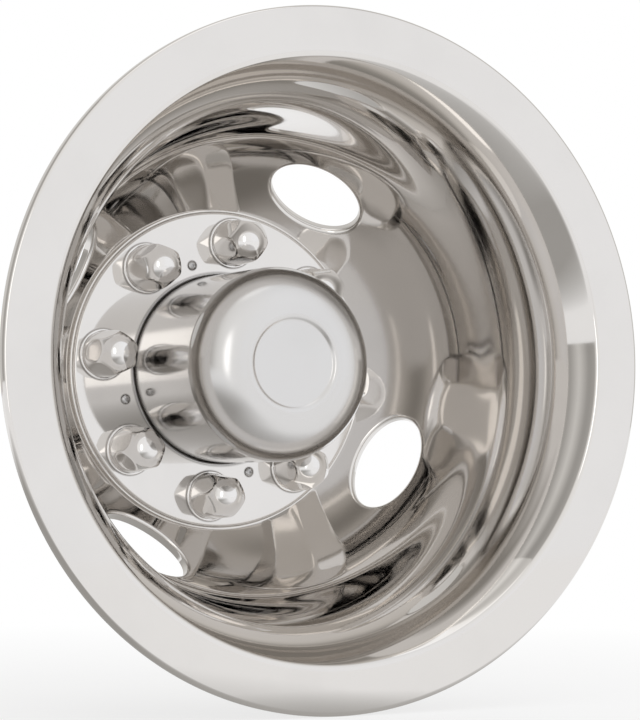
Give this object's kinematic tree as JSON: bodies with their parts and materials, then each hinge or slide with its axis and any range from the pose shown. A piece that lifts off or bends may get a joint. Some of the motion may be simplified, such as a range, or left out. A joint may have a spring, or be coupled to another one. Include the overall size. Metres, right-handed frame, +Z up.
{
  "type": "truck wheel simulator",
  "caption": "Polished stainless cover for a dual rear truck wheel: a deep dish with a flat lip, hand holes, a tall hub cap and acorn lug covers.",
  "frame": {"origin": "centre of the bolt circle, on the back of the bolt face", "axes": "+Y along the wheel's axis, away from the viewer and into the vehicle; -Y is the shown front; +Z up; +X to the right as seen from the front"},
  "size_m": [0.435, 0.177, 0.4348],
  "materials": {
    "stainless_sheet": "mirror polished",
    "stainless_cap": "mirror polished",
    "chrome_cover": "mirror polished",
    "spring_steel": "plain",
    "rivet_steel": "satin"
  },
  "bodies": {
    "root": {"liner": "stainless_sheet", "hub_cap": "stainless_cap", "lug_cover_1": "chrome_cover", "lug_cover_2": "chrome_cover", "lug_cover_3": "chrome_cover", "lug_cover_4": "chrome_cover", "lug_cover_5": "chrome_cover", "lug_cover_6": "chrome_cover", "lug_cover_7": "chrome_cover", "lug_cover_8": "chrome_cover", "cover_clip_1": "spring_steel", "cover_clip_2": "spring_steel", "cover_clip_3": "spring_steel", "cover_clip_4": "spring_steel", "cover_clip_5": "spring_steel", "cover_clip_6": "spring_steel", "cover_clip_7": "spring_steel", "cover_clip_8": "spring_steel", "cap_rivet_1": "rivet_steel", "cap_rivet_2": "rivet_steel", "cap_rivet_3": "rivet_steel", "cap_rivet_4": "rivet_steel"}
  },
  "joints": []
}
